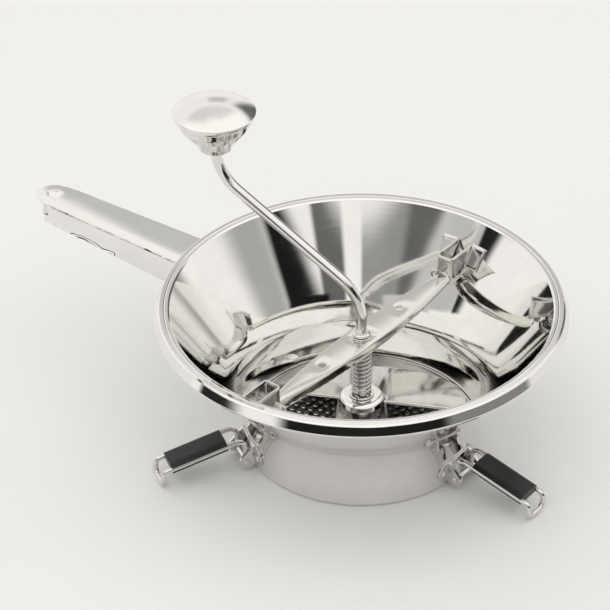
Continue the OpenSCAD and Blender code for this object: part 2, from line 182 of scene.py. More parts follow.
def mesh_from(name, points, faces, normals=None):
    """Smooth mesh in mm with outward faces. normals are exact ones for each point."""
    mesh = bpy.data.meshes.new(name)
    mesh.from_pydata(points, [], faces)
    mesh.update()
    work = bmesh.new()
    work.from_mesh(mesh)
    bmesh.ops.recalc_face_normals(work, faces=work.faces)
    work.to_mesh(mesh)
    work.free()
    mesh.polygons.foreach_set("use_smooth", [True] * len(mesh.polygons))
    if normals:
        mesh.normals_split_custom_set_from_vertices(normals)
    return mesh


def joined(name, meshes):
    """One mesh made of several, which keeps each one's normals."""
    objects = [bpy.data.objects.new(name, m) for m in meshes]
    for o in objects:
        bpy.context.scene.collection.objects.link(o)
    with bpy.context.temp_override(active_object=objects[0], selected_editable_objects=objects):
        bpy.ops.object.join()
    mesh = objects[0].data
    bpy.data.objects.remove(objects[0])
    mesh.name = name
    return mesh


def modified(mesh, *steps):
    """The mesh after some modifiers, each a type and its settings, with creases past 60 degrees."""
    piece = bpy.data.objects.new("work", mesh)
    bpy.context.scene.collection.objects.link(piece)
    for kind, settings in steps:
        modifier = piece.modifiers.new(kind, kind)
        for key, value in settings.items():
            setattr(modifier, key, value)
    graph = bpy.context.evaluated_depsgraph_get()
    made = bpy.data.meshes.new_from_object(piece.evaluated_get(graph))
    bpy.data.objects.remove(piece)
    made.polygons.foreach_set("use_smooth", [True] * len(made.polygons))
    made.set_sharp_from_angle(angle=math.radians(60))
    return made


def thickened(mesh, thickness, edge=0.25, offset=-1.0):
    """A sheet of that thickness with softly rounded free edges."""
    return modified(
        mesh,
        ("SOLIDIFY", {"thickness": thickness, "offset": offset, "use_even_offset": False}),
        ("BEVEL", {"width": edge, "segments": 3, "limit_method": "ANGLE",
                   "angle_limit": math.radians(50), "harden_normals": True}),
    )


def rounded(corners, steps=7):
    """Closed outline with exact normals from corners (a, b, radius): each corner becomes an arc.

    The result is a list of (point, normal), with the normal to the right of the way round.
    """
    outline = []
    for i, (a, b, radius) in enumerate(corners):
        corner = Vector((a, b))
        before = Vector(corners[i - 1][:2]) - corner
        after = Vector(corners[(i + 1) % len(corners)][:2]) - corner
        u, w = before.normalized(), after.normalized()
        half = u.angle(w) / 2
        cut = min(radius / math.tan(half), 0.48 * before.length, 0.48 * after.length)
        start_normal = Vector((-u.y, u.x))
        end_normal = Vector((w.y, -w.x))
        turn = math.atan2(start_normal.cross(end_normal), start_normal.dot(end_normal))
        radius = cut * math.tan(half)
        inward = -1 if turn > 0 else 1
        centre = corner + u * cut + start_normal * inward * radius
        for k in range(steps + 1):
            normal = Matrix.Rotation(turn * k / steps, 2) @ start_normal
            outline.append((centre - normal * inward * radius, normal))
    return outline


def subdivided(outline):
    """The same outline with extra points along its long straight stretches."""
    longest = 8
    result = []
    for i, (point, normal) in enumerate(outline):
        result.append((point, normal))
        following, following_normal = outline[(i + 1) % len(outline)]
        parts = int((following - point).length // longest) + 1
        for k in range(1, parts):
            mixed = normal.lerp(following_normal, k / parts).normalized()
            result.append((point.lerp(following, k / parts), mixed))
    return result


def lathe(name, outline, turns=96, centre=(0, 0)):
    """Ring turned from a closed outline of ((radius, height), normal) about an upright axis."""
    points, normals, faces = [], [], []
    count = len(outline)
    for i in range(turns):
        c, s = math.cos(2 * math.pi * i / turns), math.sin(2 * math.pi * i / turns)
        for (r, z), (nr, nz) in outline:
            points.append((centre[0] + r * c, centre[1] + r * s, z))
            normals.append((nr * c, nr * s, nz))
        for k in range(count):
            a, b = i * count + k, i * count + (k + 1) % count
            j = (i + 1) % turns * count
            faces.append((a, j + k, j + (k + 1) % count, b))
    return mesh_from(name, points, faces, outward(outline, normals))


def outward(outline, normals):
    """Normals turned to point out of the outline, whichever way round it goes."""
    area = sum(
        p.x * outline[(i + 1) % len(outline)][0].y - outline[(i + 1) % len(outline)][0].x * p.y
        for i, (p, _) in enumerate(outline)
    )
    return normals if area > 0 else [tuple(-v for v in n) for n in normals]


def dome(name, profile, turns=96, centre=(0, 0)):
    """Solid turned from an open profile of ((radius, height), normal) that starts and ends on the axis."""
    points, normals, faces = [], [], []
    inner = profile[1:-1]
    count = len(inner)
    for i in range(turns):
        c, s = math.cos(2 * math.pi * i / turns), math.sin(2 * math.pi * i / turns)
        for (r, z), (nr, nz) in inner:
            points.append((centre[0] + r * c, centre[1] + r * s, z))
            normals.append((nr * c, nr * s, nz))
    for point, normal in (profile[0], profile[-1]):
        points.append((centre[0], centre[1], point[1]))
        normals.append((0, 0, math.copysign(1, normal[1])))
    first, last = len(points) - 2, len(points) - 1
    for i in range(turns):
        a, b = i * count, (i + 1) % turns * count
        faces.append((first, b, a))
        faces.append((last, a + count - 1, b + count - 1))
        faces += [(a + k, b + k, b + k + 1, a + k + 1) for k in range(count - 1)]
    return mesh_from(name, points, faces, normals)


def ring(inner, outer, low, high, edge=0.2, turns=72, centre=(0, 0)):
    """Flat ring with softened edges."""
    corners = [(inner, low, edge), (outer, low, edge), (outer, high, edge), (inner, high, edge)]
    return lathe("ring", rounded(corners, 4), turns, centre)


def tube(name, path, radius, sides=28):
    """Round wire along a path, with exact normals and slightly rounded ends."""
    path = [Vector(p) for p in path]
    count = len(path)
    along = [(path[min(i + 1, count - 1)] - path[max(i - 1, 0)]).normalized() for i in range(count)]
    side = along[0].orthogonal().normalized()
    chamfer = 0.35 * radius
    stations = [(path[0] + along[0] * 0.02, radius - chamfer, 0)]
    stations += [(p, radius, i) for i, p in enumerate(path)]
    stations[1] = (path[0] + along[0] * chamfer, radius, 0)
    stations[-1] = (path[-1] - along[-1] * chamfer, radius, count - 1)
    stations.append((path[-1] - along[-1] * 0.02, radius - chamfer, count - 1))
    points, normals, faces = [], [], []
    for place, r, i in stations:
        side = (side - along[i] * side.dot(along[i])).normalized()
        other = along[i].cross(side)
        for k in range(sides):
            a = 2 * math.pi * k / sides
            normal = side * math.cos(a) + other * math.sin(a)
            points.append(place + normal * r)
            normals.append(normal)
    for i in range(len(stations) - 1):
        for k in range(sides):
            j = (k + 1) % sides
            faces.append((i * sides + k, i * sides + j, (i + 1) * sides + j, (i + 1) * sides + k))
    for place, first, direction in ((path[0], 0, -along[0]),
                                    (path[-1], (len(stations) - 1) * sides, along[-1])):
        points.append(place)
        normals.append(direction)
        faces += [(first + k, first + (k + 1) % sides, len(points) - 1) for k in range(sides)]
    return mesh_from(name, points, faces, normals)


def bent(corners, radii, step=6.0):
    """Path through corners with a round bend at each inner one; step is degrees between points."""
    corners = [Vector(c) for c in corners]
    path = [corners[0]]
    for i, radius in enumerate(radii, 1):
        u = (corners[i] - corners[i - 1]).normalized()
        w = (corners[i + 1] - corners[i]).normalized()
        turn = u.angle(w)
        start = corners[i] - u * radius * math.tan(turn / 2)
        to_centre = (w - u * u.dot(w)).normalized()
        centre = start + to_centre * radius
        parts = max(3, int(math.degrees(turn) / step))
        for k in range(parts + 1):
            a = turn * k / parts
            path.append(centre - to_centre * radius * math.cos(a) + u * radius * math.sin(a))
    path.append(corners[-1])
    return path


def prism(name, outline, height, edge=0.3):
    """Plate from 0 up to a height, with softened edges."""
    flat = [Vector(p) for p in outline]
    places, _, faces, _, _, _ = delaunay_2d_cdt(flat, [], [list(range(len(flat)))], 1, 1e-5)
    work = bmesh.new()
    verts = [work.verts.new((p.x, p.y, 0)) for p in places]
    for f in faces:
        work.faces.new([verts[i] for i in f])
    bmesh.ops.dissolve_limit(work, angle_limit=0.01, verts=work.verts, edges=work.edges)
    grown = bmesh.ops.extrude_face_region(work, geom=work.faces[:])
    lifted = [g for g in grown["geom"] if isinstance(g, bmesh.types.BMVert)]
    bmesh.ops.translate(work, verts=lifted, vec=(0, 0, height))
    bmesh.ops.recalc_face_normals(work, faces=work.faces)
    bordering = [e for e in work.edges if len(e.link_faces) == 2 and e.calc_face_angle(0) > 0.9]
    bmesh.ops.bevel(work, geom=bordering, offset=edge, segments=3, profile=0.5, affect="EDGES",
                    clamp_overlap=True)
    mesh = bpy.data.meshes.new(name)
    work.to_mesh(mesh)
    work.free()
    mesh.polygons.foreach_set("use_smooth", [True] * len(mesh.polygons))
    return modified(mesh, ("WEIGHTED_NORMAL", {"weight": 80, "keep_sharp": True}))


def plan_skin(loops, holes, height):
    """Points and triangles of a surface over nested outline loops, the outermost first, less its holes.

    height gives z at (x, y). The outermost loop's points keep their order at the start of the list.
    """
    flat, edges, start = [], [], 0
    for loop in [*loops, *holes]:
        flat += [Vector(p) for p in loop]
        edges += [(start + k, start + (k + 1) % len(loop)) for k in range(len(loop))]
        start += len(loop)
    places, _, faces, origins, _, _ = delaunay_2d_cdt(flat, edges, [], 0, 1e-4)
    order = {}
    for i, sources in enumerate(origins):
        for s in sources:
            order[s] = i
    first = [order[k] for k in range(len(loops[0]))]
    rest = [i for i in range(len(places)) if i not in set(first)]
    sorted_ids = {old: new for new, old in enumerate(first + rest)}
    points = [(places[i].x, places[i].y, height(places[i].x, places[i].y)) for i in first + rest]
    kept = []
    for f in faces:
        middle = sum((places[i] for i in f), Vector((0, 0))) / len(f)
        if inside(middle, loops[0]) and not any(inside(middle, hole) for hole in holes):
            kept.append(tuple(sorted_ids[i] for i in f))
    return points, kept


def inside(point, loop):
    """Whether a point lies in a closed loop of (x, y) points."""
    crossed = False
    for i, (x0, y0) in enumerate(loop):
        x1, y1 = loop[i - 1]
        if (y0 > point[1]) != (y1 > point[1]):
            if point[0] < (x1 - x0) * (point[1] - y0) / (y1 - y0) + x0:
                crossed = not crossed
    return crossed


def circle(x, y, r, count=48):
    """Points round a circle."""
    return [(x + r * math.cos(2 * math.pi * k / count), y + r * math.sin(2 * math.pi * k / count))
            for k in range(count)]


# ---- Materials ----

class Graph:
    """Short calls for building a node material."""

    def __init__(self, name):
        self.material = bpy.data.materials.new(name)
        self.material.use_nodes = True
        self.tree = self.material.node_tree
        self.shader = self.tree.nodes["Principled BSDF"]
        self.coordinates = self.node("ShaderNodeTexCoord").outputs["Object"]

    def node(self, kind, inputs=None, **settings):
        made = self.tree.nodes.new(kind)
        for key, value in settings.items():
            setattr(made, key, value)
        for key, value in (inputs or {}).items():
            if isinstance(value, bpy.types.NodeSocket):
                self.tree.links.new(value, made.inputs[key])
            else:
                made.inputs[key].default_value = value
        return made

    def maths(self, operation, a, b=0.0):
        return self.node("ShaderNodeMath", {0: a, 1: b}, operation=operation).outputs[0]

    def noise(self, vector, scale, detail=2.0, w=None, rough=0.5):
        inputs = {"Vector": vector, "Scale": scale, "Detail": detail, "Roughness": rough}
        if w is not None:
            inputs["W"] = w
        kind = "3D" if w is None else "4D"
        return self.node("ShaderNodeTexNoise", inputs, noise_dimensions=kind).outputs["Fac"]

    def spread(self, value, low, high, start=0.3, end=0.7):
        """The value's middle span, stretched to run from low to high."""
        inputs = {"Value": value, "From Min": start, "From Max": end, "To Min": low, "To Max": high}
        return self.node("ShaderNodeMapRange", inputs).outputs[0]

    def tint(self, value, dark, light):
        """A colour between two, by a value from 0 to 1."""
        made = self.node("ShaderNodeMix", {"Factor": value}, data_type="RGBA")
        made.inputs[6].default_value = (*dark, 1)
        made.inputs[7].default_value = (*light, 1)
        return made.outputs[2]

    def bump(self, height, distance, normal=None):
        inputs = {"Height": height, "Strength": 1.0, "Distance": distance}
        if normal is not None:
            inputs["Normal"] = normal
        return self.node("ShaderNodeBump", inputs).outputs[0]

    def set(self, **values):
        for key, value in values.items():
            socket = self.shader.inputs[key.replace("_", " ")]
            if isinstance(value, bpy.types.NodeSocket):
                self.tree.links.new(value, socket)
            else:
                socket.default_value = value


GRAIN_PITCH = 2600.0
SHEET_WAVE = 0.00004
SCRATCH_DEPTH = 0.0000015


def spun_grain(graph, centre=(0, 0)):
    """Fine rings left by spinning and polishing about an upright axis at centre, in mm."""
    offset = (-centre[0] * MM, -centre[1] * MM, 0)
    moved = graph.node("ShaderNodeMapping", {"Vector": graph.coordinates, "Location": offset}).outputs[0]
    parts = graph.node("ShaderNodeSeparateXYZ", {0: moved}).outputs
    flat = graph.node("ShaderNodeCombineXYZ", {0: parts[0], 1: parts[1]}).outputs[0]
    radius = graph.node("ShaderNodeVectorMath", {0: flat}, operation="LENGTH").outputs["Value"]
    around = graph.node("ShaderNodeVectorMath", {0: flat}, operation="NORMALIZE").outputs[0]
    around = graph.node("ShaderNodeSeparateXYZ", {0: around}).outputs
    vector = graph.node(
        "ShaderNodeCombineXYZ",
        {0: graph.maths("MULTIPLY", around[0], 3.0), 1: graph.maths("MULTIPLY", around[1], 3.0),
         2: graph.maths("MULTIPLY", radius, GRAIN_PITCH)},
    ).outputs[0]
    return graph.noise(vector, 1.0, 3.0, w=graph.maths("MULTIPLY", parts[2], GRAIN_PITCH))


def line_grain(graph, azimuth=0.0):
    """Fine polishing lines that run along a level direction."""
    turned = graph.node(
        "ShaderNodeMapping", {"Vector": graph.coordinates, "Rotation": (0, 0, azimuth)},
        vector_type="TEXTURE",
    ).outputs[0]
    scaled = graph.node(
        "ShaderNodeVectorMath", {0: turned, 1: (60.0, GRAIN_PITCH, GRAIN_PITCH)}, operation="MULTIPLY"
    ).outputs[0]
    return graph.noise(scaled, 1.0, 3.0)


def steel(name, base, rough, grain, rough_span):
    """Polished steel: grain lines, faint smudges and the slight waviness of pressed sheet."""
    graph = Graph(name)
    lines = grain(graph)
    smudge = graph.noise(graph.coordinates, 55.0, 4.0, rough=0.6)
    speckle = graph.noise(graph.coordinates, 900.0, 2.0)
    waves = graph.noise(graph.coordinates, 22.0, 1.0)
    dark = tuple(c * 0.94 for c in base)
    light = tuple(min(1.0, c * 1.03) for c in base)
    worn = graph.maths("ADD", graph.spread(smudge, 0.0, 0.6), graph.spread(lines, 0.0, 0.4))
    roughness = graph.maths(
        "ADD", graph.spread(lines, rough - rough_span / 2, rough + rough_span / 2),
        graph.spread(smudge, -0.3 * rough_span, 0.5 * rough_span),
    )
    roughness = graph.maths("ADD", roughness, graph.spread(speckle, 0.0, 0.25 * rough_span, 0.6, 0.8))
    normal = graph.bump(waves, SHEET_WAVE)
    normal = graph.bump(lines, SCRATCH_DEPTH, normal)
    graph.set(Base_Color=graph.tint(worn, dark, light), Metallic=1.0, Roughness=roughness, Normal=normal)
    return graph.material


def rubber(name):
    """Smooth black moulded rubber with a faint skin and dusty wear."""
    graph = Graph(name)
    skin = graph.noise(graph.coordinates, 1800.0, 3.0)
    dust = graph.noise(graph.coordinates, 130.0, 5.0, rough=0.65)
    colour = graph.tint(graph.spread(dust, 0.0, 1.0), (0.006, 0.006, 0.0065), (0.014, 0.014, 0.015))
    graph.set(Base_Color=colour, Roughness=graph.spread(dust, 0.28, 0.42), Normal=graph.bump(skin, 0.00003))
    graph.set(IOR=1.5)
    return graph.material


def nylon(name):
    """Dark moulded nylon."""
    graph = Graph(name)
    skin = graph.noise(graph.coordinates, 1200.0, 3.0)
    tone = graph.noise(graph.coordinates, 160.0, 3.0)
    colour = graph.tint(graph.spread(tone, 0.0, 1.0), (0.018, 0.018, 0.02), (0.035, 0.035, 0.037))
    graph.set(Base_Color=colour, Roughness=graph.spread(tone, 0.38, 0.52), Normal=graph.bump(skin, 0.00002))
    return graph.material


KNOB_CENTRE = (CRANK_X * math.cos(CRANK_AZ), CRANK_X * math.sin(CRANK_AZ))
BOWL_STEEL = steel("bowl_steel", (0.86, 0.85, 0.83), 0.045, spun_grain, 0.02)
HUB_STEEL = steel("hub_steel", (0.86, 0.85, 0.83), 0.07, spun_grain, 0.03)
KNOB_STEEL = steel("knob_steel", (0.84, 0.83, 0.81), 0.16, lambda g: spun_grain(g, KNOB_CENTRE), 0.05)
CUP_STEEL = steel("cup_steel", (0.80, 0.79, 0.77), 0.06, lambda g: spun_grain(g, KNOB_CENTRE), 0.03)
HANDLE_STEEL = steel("handle_steel", (0.86, 0.85, 0.83), 0.07, lambda g: line_grain(g, HANDLE_AZ), 0.04)
STRAP_STEEL = steel("strap_steel", (0.82, 0.80, 0.76), 0.10, lambda g: line_grain(g, STRAP_AZ), 0.05)
PADDLE_STEEL = steel("paddle_steel", (0.80, 0.79, 0.77), 0.09, lambda g: line_grain(g, 0.4), 0.05)
CLIP_STEEL = steel("clip_steel", (0.74, 0.73, 0.71), 0.12, line_grain, 0.06)
SIEVE_STEEL = steel("sieve_steel", (0.70, 0.69, 0.67), 0.22, line_grain, 0.08)
ROD_STEEL = steel("rod_steel", (0.78, 0.77, 0.75), 0.07, lambda g: line_grain(g, CRANK_AZ), 0.04)
WIRE_STEEL = steel("wire_steel", (0.76, 0.75, 0.73), 0.09, line_grain, 0.04)
SPRING_STEEL = steel("spring_steel", (0.60, 0.58, 0.57), 0.14, line_grain, 0.06)
PAD_RUBBER = rubber("pad_rubber")
BUSH_PLASTIC = nylon("bush_plastic")


# ---- Bowl and disc ----

def make_bowl():
    """Drum, flare, cone, flat land and turned-down rim with a hem, spun from one sheet."""
    hem_z = RIM_Z - 5.9
    land_r = RIM_R - 3.4
    groove_r, groove = MOUTH_R + 3.1, 0.3
    very_round = 1000.0
    flare = [DRUM_H + (FLARE_H - DRUM_H) * k / 10 for k in range(11)]
    corners = [
        (DRUM_IN - 4, 0, 0.5), (DRUM_R, 0, 1.6), *[(wall_out(z), z, very_round) for z in flare],
        (wall_out(LIP_Z - 4), LIP_Z - 4, 1.2), (MOUTH_R + 3, LIP_Z - 1.8, 0.8),
        (land_r - 0.6, RIM_Z - 1.5, 0.6), (RIM_R - 1.5, hem_z - 0.4, 0.5),
        (RIM_R - 2.2, hem_z - 1.2, 0.3), (RIM_R - 4.2, hem_z - 1.2, 0.25),
        (RIM_R - 4.2, hem_z - 2.2, 0.4), (RIM_R - 1.6, hem_z - 2.2, 0.8),
        (RIM_R, hem_z, 0.9), (land_r + 1, RIM_Z - 0.9, 1.0), (land_r, RIM_Z, 0.6),
        (groove_r + 0.5, RIM_Z, 0.3), (groove_r, RIM_Z - groove, 0.3),
        (groove_r - 0.5, RIM_Z - 0.05, 0.3), (MOUTH_R + 0.9, RIM_Z - 0.1, 0.7),
        (MOUTH_R, LIP_Z - 0.5, 0.8), *[(wall_in(z), z, very_round) for z in reversed(flare)],
        (DRUM_IN, SHEET, 0.4), (DRUM_IN - 4, SHEET, 0.4),
    ]
    mesh = lathe("bowl_spun", subdivided(rounded(corners, 6)), 288)
    add_object("bowl_spun", mesh, "root", BOWL_STEEL, ["bowl"])


def make_sieve_burrs():
    """Raised lip that punching leaves around each hole of the disc."""
    first_r, pitch, rings, hole_r = 21, 5, 8, 1.3
    outline = rounded([(hole_r - 0.02, DISC_Z - 0.3, 0.05), (hole_r + 0.55, DISC_Z - 0.3, 0.05),
                       (hole_r + 0.5, DISC_Z + 0.02, 0.1), (hole_r + 0.12, DISC_Z + 0.38, 0.12),
                       (hole_r - 0.02, DISC_Z + 0.36, 0.05)], 2)
    points, faces = [], []
    for i in range(rings):
        r = first_r + i * pitch
        holes = math.floor(2 * math.pi * r / pitch)
        for k in range(holes):
            a = (k + 0.5 * (i % 2)) * 2 * math.pi / holes
            one = lathe("burr", outline, 18, (r * math.cos(a), r * math.sin(a)))
            start = len(points)
            points += [tuple(v.co) for v in one.vertices]
            faces += [tuple(start + v for v in f.vertices) for f in one.polygons]
            bpy.data.meshes.remove(one)
    mesh = mesh_from("sieve_burrs", points, faces)
    add_object("sieve_burrs", mesh, "root", SIEVE_STEEL)
    refinish("sieve_disc", SIEVE_STEEL)


# ---- Handle ----

def make_handle():
    """Inverted channel: a crowned top that rolls into deep sides, and a flat round end with a hole."""
    end_w, root_w = 11.5, 15.5
    root_x, deep_x, first_x = 85.0, 104, 110
    end_d, root_d = 15.0, HANDLE_Z - HANDLE_LOW
    roll = 1.5
    stations = [first_x + (HANG_X - first_x) * k / 16 for k in range(17)]
    arc = [math.pi / 2 * (1 - k / 14) for k in range(1, 28)]

    def half_width(x, inset):
        return root_w + (end_w - root_w) * (x - root_x) / (HANG_X - root_x) - inset

    def start_x(y, z):
        return math.sqrt(wall_out(z) ** 2 - y * y) + 0.3

    def outline(inset):
        sides = [(x, half_width(x, inset)) for x in stations]
        tip = [(HANG_X + (end_w - inset) * math.cos(a), (end_w - inset) * math.sin(a)) for a in arc]
        y = half_width(deep_x, inset)
        root = [(start_x(y * k / 6, HANDLE_Z) + inset, y * k / 6) for k in range(-6, 7)]
        return [*sides, *tip, *[(x, -w) for x, w in reversed(sides)], *root]

    def crown(x, y):
        across = min(1.0, abs(y) / half_width(min(x, HANG_X), 0))
        dish = max(0.0, 1 - (math.hypot(x - HANG_X, y) - HANG_R) / 1.1)
        end_lip = max(0.0, (math.hypot(x - HANG_X, y) - end_w + 0.9) / 0.9) if x > HANG_X else 0.0
        return HANDLE_Z - 0.75 * across ** 2 - 0.55 * dish ** 2 - 0.3 * min(1.0, end_lip) ** 2

    insets = (0, 0.25, 0.7, 1.6, 3.0, 4.8, 6.6)
    holes = [circle(HANG_X, 0, HANG_R)]
    rims = [circle(HANG_X, 0, HANG_R + d) for d in (0.25, 0.55, 0.9, 1.3)]
    loops = [outline(d) for d in insets]
    points, faces = plan_skin([*loops, *rims], holes, crown)
    border = loops[0]
    far_side = len(stations) + len(arc)
    sides = [*range(len(stations)), *range(far_side, far_side + len(stations))]
    crease = 8.5
    wall = [(0.12, 0.25), (0.7, 1.0), (1.15, 2.2), (1.4, 4.0), (roll, 6.0), (roll, 8.2), (1.45, 8.7),
            (0.9, end_d)]
    columns = {}
    for k in sides:
        x, y = border[k]
        depth = root_d + (end_d - root_d) * max(0.0, (x - deep_x) / (HANG_X - deep_x))
        columns[k] = [k]
        for out, down in wall:
            z = points[k][2] - down * (depth / end_d if down > crease else 1.0)
            z = max(z, HANDLE_Z - depth)
            columns[k].append(len(points))
            points.append((x, math.copysign(abs(y) - roll + out, y), z))
    for k in sides:
        if k + 1 in columns:
            for i in range(len(wall)):
                faces.append((columns[k][i], columns[k + 1][i], columns[k + 1][i + 1], columns[k][i + 1]))
    mesh = thickened(mesh_from("handle_channel", points, faces), 1.4, 0.3)
    add_object("handle_channel", mesh, "root", HANDLE_STEEL, ["handle"], HANDLE_AZ)


# ---- Strap, clips and bush ----

def make_strap():
    """Leaf-shaped strap: a flat top that rolls down into slanted flanges, with round holes."""
    half_l, half_w, tip_w = 84.0, 9.7, 2.6
    hole_x, hole_r, bush_r = 36.5, 2.3, 4.25
    big = (half_l ** 2 + (half_w - tip_w) ** 2) / (2 * (half_w - tip_w))
    stations = [-half_l + 2 * half_l * k / 56 for k in range(57)]

    def width(x, inset):
        return half_w - big + math.sqrt(big * big - x * x) - inset

    def outline(inset):
        xs = [x * (half_l - inset * 0.4) / half_l for x in stations]
        ws = [max(0.25, width(x, inset)) for x in xs]
        return [*[(x, -w) for x, w in zip(xs, ws)], *[(x, w) for x, w in reversed(list(zip(xs, ws)))]]

    lean = 1.1
    loops = [outline(lean + d) for d in (0, 0.2, 0.5)]
    holes = [circle(x, 0, hole_r, 32) for x in (-hole_x, hole_x)] + [circle(0, 0, bush_r, 40)]
    rims = [circle(x, 0, hole_r + d, 32) for x in (-hole_x, hole_x) for d in (0.3, 0.7)]

    def height(x, y):
        edge = abs(y) / max(0.5, width(x, lean))
        dimple = sum(max(0.0, 1 - (math.hypot(x - h, y) - hole_r) / 0.7) for h in (-hole_x, hole_x))
        return STRAP_Z - 0.12 * edge ** 8 - 0.2 * min(1.0, dimple) ** 2

    points, faces = plan_skin([*loops, *rims], holes, height)
    depth = STRAP_Z - STRAP_LOW
    wall = [(0.25, 0.12), (0.5, 0.45), (0.62, 1.0), (0.75, 2.2), (0.95, 4.4), (1.1, depth)]
    border = loops[0]
    count = len(border)
    columns = []
    for k in range(count):
        x, y = border[k]
        column = [k]
        for out, down in wall:
            column.append(len(points))
            points.append((x, math.copysign(abs(y) + out, y), STRAP_Z - min(down, depth)))
        columns.append(column)
    for k in range(count):
        j = (k + 1) % count
        if abs(border[k][0] - border[j][0]) < 0.01:
            continue
        for i in range(len(wall)):
            faces.append((columns[k][i], columns[j][i], columns[j][i + 1], columns[k][i + 1]))
    mesh = thickened(mesh_from("strap_pressed", points, faces), 1.1, 0.25)
    add_object("strap_pressed", mesh, "strap", STRAP_STEEL, ["strap"], STRAP_AZ)


def make_clip(node, azimuth):
    """Bent strip on the cone: a foot, a wall in, the front, a wall out and a foot, with a hook below."""
    low, high = STRAP_Z + 0.35, box_mm(node)[1].z
    front, half, t = 80.5, 5.1, 1.0
    bend = 1.3

    def strip(z):
        wall_r = wall_in(z) - t / 2
        plan = [(wall_r * math.cos(a), wall_r * math.sin(a))
                for a in [math.radians(8.6 - 5.0 * k / 8) for k in range(9)]]
        plan.append((wall_r - 0.5, half + 0.25))
        plan.append((wall_r - 1.2, half))
        plan.append((front + 4, half))
        for k in range(6):
            a = math.pi / 2 * k / 5
            plan.append((front + bend * (1 - math.sin(a)), half - bend * (1 - math.cos(a))))
        plan.append((front, half - bend - 1.0))
        return [*plan, *[(x, -y) for x, y in reversed(plan)]]

    heights = [low + (high - low) * k / 4 for k in range(5)]
    rows = [strip(z) for z in heights]
    count = len(rows[0])
    points = [(x, y, z) for row, z in zip(rows, heights) for x, y in row]
    faces = [(i * count + k, i * count + k + 1, (i + 1) * count + k + 1, (i + 1) * count + k)
             for i in range(4) for k in range(count - 1)]
    loop = thickened(mesh_from("clip", points, faces), t, 0.25, 0.0)

    hook_low = box_mm(node)[0].z
    hook = [(wall_in(hook_low + 2) - 1.5, half), (front + bend, half)]
    hook += [(front + bend * (1 - math.sin(a)), half + bend * (1 - math.cos(a)))
             for a in [math.pi / 2 * k / 6 for k in range(1, 7)]]
    hook.append((front, half + 4.3))
    points = [(x, y, z) for z in (hook_low, low + 0.2) for x, y in hook]
    n = len(hook)
    faces = [(k, k + 1, n + k + 1, n + k) for k in range(n - 1)]
    tongue = thickened(mesh_from("hook", points, faces), t, 0.25, 0.0)
    mesh = joined(node + "_bent", [loop, tongue])
    add_object(node + "_bent", mesh, "root", CLIP_STEEL, [node], azimuth)


def make_shaft_rings():
    """Bush in the strap, washers at the spring's ends and the collar on the shaft."""
    bore = ROD_R + RUNNING_GAP
    low, high = box_mm("strap_bush")
    flange_r, neck_r = high.x, 4.2
    bush = rounded([(bore, low.z, 0.2), (neck_r, low.z, 0.2), (neck_r, STRAP_Z, 0.1),
                    (flange_r, STRAP_Z + 0.02, 0.15), (flange_r, high.z, 0.35), (bore, high.z, 0.3)], 4)
    add_object("strap_bush_turned", lathe("bush", bush, 64), "strap", WIRE_STEEL, ["strap_bush"])
    for node, body in (("upper_spring_washer", "strap"), ("lower_spring_washer", "spring_seat")):
        low, high = box_mm(node)
        mesh = ring(bore, high.x, low.z, high.z, 0.25)
        add_object(node + "_turned", mesh, body, WIRE_STEEL, [node])
    low, high = box_mm("crank_collar")
    collar = rounded([(ROD_R - 0.02, low.z, 0.1), (high.x, low.z, 0.4), (high.x, high.z - 0.5, 0.6),
                      (high.x - 0.9, high.z, 0.4), (ROD_R - 0.02, high.z, 0.1)], 5)
    add_object("crank_collar_turned", lathe("collar", collar, 64), "crank", ROD_STEEL,
               ["crank_collar"])


def make_spring():
    """Pressure spring: one even coil from washer to washer."""
    low, high = box_mm("pressure_spring")
    wire, turns, steps = 0.8, 12.5, 28
    middle_r = high.x - wire
    total = int(turns * steps)
    bottom, top = low.z + wire, high.z - wire
    path = []
    for i in range(total + 1):
        a = 2 * math.pi * i / steps
        path.append((middle_r * math.cos(a), middle_r * math.sin(a), bottom + (top - bottom) * (i / total)))
    mesh = tube("pressure_spring_coil", path, wire, 16)
    piece = add_object("pressure_spring_coil", mesh, "strap", SPRING_STEEL,
                       ["pressure_spring"])
    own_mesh(piece)


# ---- Crank, hub and paddle ----

def make_crank_rod():
    """One round rod, bent twice, from the disc's boss up to the knob."""
    low, high = box_mm("crank_rod")
    arm = Vector((CRANK_X, 0, 0))
    z0, z1, bend = 98, 158, 30
    corners = [(0, 0, low.z), (0, 0, z0), arm + Vector((0, 0, z1)), arm + Vector((0, 0, high.z))]
    mesh = tube("crank_rod_bent", bent(corners, [bend, bend], 3), ROD_R, 40)
    add_object("crank_rod_bent", mesh, "crank", ROD_STEEL, ["crank_rod"], CRANK_AZ)


def make_hub():
    """Domed hub with a rolled foot and a flat top that the spring's washer rests on."""
    low, high = box_mm("paddle_hub")
    wide, curve = high.x, 70.0

    def hub_r(z, inset=0.0):
        return wide - curve + math.sqrt((curve - inset) ** 2 - (z - low.z) ** 2)

    heights = [low.z + (high.z - low.z) * k / 6 for k in range(7)]
    outer = [(hub_r(z), z, 0.4 if k == 0 else 4 if k < 6 else 3.2) for k, z in enumerate(heights)]
    inner = [(hub_r(z, SHEET), z, 3) for z in reversed(heights[:-1])]
    top = high.z - SHEET
    corners = [*outer, (ROD_R, high.z, 0.4), (ROD_R, top, 0.2), (hub_r(top, SHEET) - 0.5, top, 2.2), *inner]
    mesh = lathe("paddle_hub_spun", rounded(corners, 5), 128)
    add_object("paddle_hub_spun", mesh, "crank", HUB_STEEL, ["paddle_hub"])


